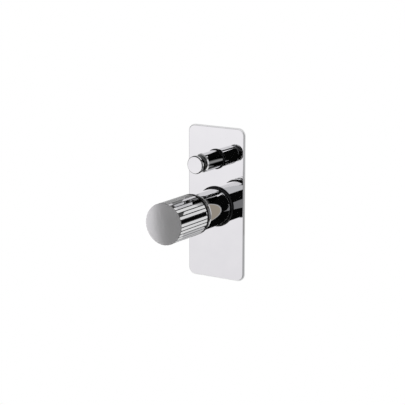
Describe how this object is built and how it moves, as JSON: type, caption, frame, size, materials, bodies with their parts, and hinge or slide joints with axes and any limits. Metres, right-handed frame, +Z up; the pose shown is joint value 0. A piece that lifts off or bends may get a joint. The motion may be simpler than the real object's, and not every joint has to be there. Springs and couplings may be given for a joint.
{
  "type": "concealed shower mixer",
  "caption": "Concealed shower mixer: tall chrome face plate, long faceted mixing knob on a sleeve, small pull knob that diverts the water, and a brass valve body in the wall.",
  "frame": {"origin": "centre of the face plate's back, in the plane of the finished wall", "axes": "+Z up, -Y out of the wall towards the user, +X to the user's right"},
  "size_m": [0.113, 0.1771, 0.1925],
  "materials": {
    "polished_chrome": "mirror-polished chrome plate",
    "cast_brass": "sand-cast, as cast outside and machined in the bores",
    "turned_brass": "bright turned",
    "stainless_steel": "satin",
    "black_rubber": "moulded",
    "gasket_foam": "closed-cell foam",
    "sealing_fibre": "pressed fibre",
    "black_plastic": "satin moulded",
    "housing_plastic": "satin moulded",
    "stop_plastic": "satin moulded",
    "valve_plastic": "satin moulded",
    "ceramic": "lapped ceramic"
  },
  "bodies": {
    "fixed": {"face_plate": "polished_chrome", "mixer_trim_ring": "polished_chrome", "diverter_trim_ring": "polished_chrome", "mixer_sleeve": "polished_chrome", "diverter_sleeve": "polished_chrome", "valve_body": "cast_brass", "cartridge_nut": "turned_brass", "hot_inlet_union": "turned_brass", "cold_inlet_union": "turned_brass", "upper_outlet_union": "turned_brass", "lower_outlet_union": "turned_brass", "diverter_headwork": "turned_brass", "return_spring": "stainless_steel", "mixer_plate_seal": "black_rubber", "diverter_plate_seal": "black_rubber", "port_seals": "black_rubber", "rod_seals": "black_rubber", "cage_seal": "black_rubber", "plate_gasket": "gasket_foam", "union_washers": "sealing_fibre", "headwork_washer": "sealing_fibre", "glide_ring": "black_plastic", "cartridge_housing": "housing_plastic", "cartridge_base": "housing_plastic", "stop_ring": "stop_plastic", "check_valves": "valve_plastic", "fixed_ceramic_disc": "ceramic"},
    "mixer": {"mixer_knob": "polished_chrome", "knob_insert": "black_plastic", "insert_screw": "stainless_steel", "knob_grub_screw": "stainless_steel", "cartridge_spindle": "turned_brass", "spindle_seals": "black_rubber", "moving_ceramic_disc": "ceramic"},
    "diverter": {"diverter_knob": "polished_chrome", "diverter_rod": "turned_brass", "diverter_piston": "turned_brass", "piston_seals": "black_rubber", "piston_nut": "turned_brass"}
  },
  "joints": [
    {"name": "mixer_turn", "type": "hinge", "parent": "fixed", "child": "mixer", "pos_m": [0, 0, -0.004], "axis": [0, -1, 0], "range_deg": [0, 130]},
    {"name": "diverter_pull", "type": "slide", "parent": "fixed", "child": "diverter", "axis": [0, -1, 0], "range_m": [0, 0.0078], "stiffness_N_per_m": 250, "springref_m": -0.012, "deforming": ["return_spring"]}
  ]
}
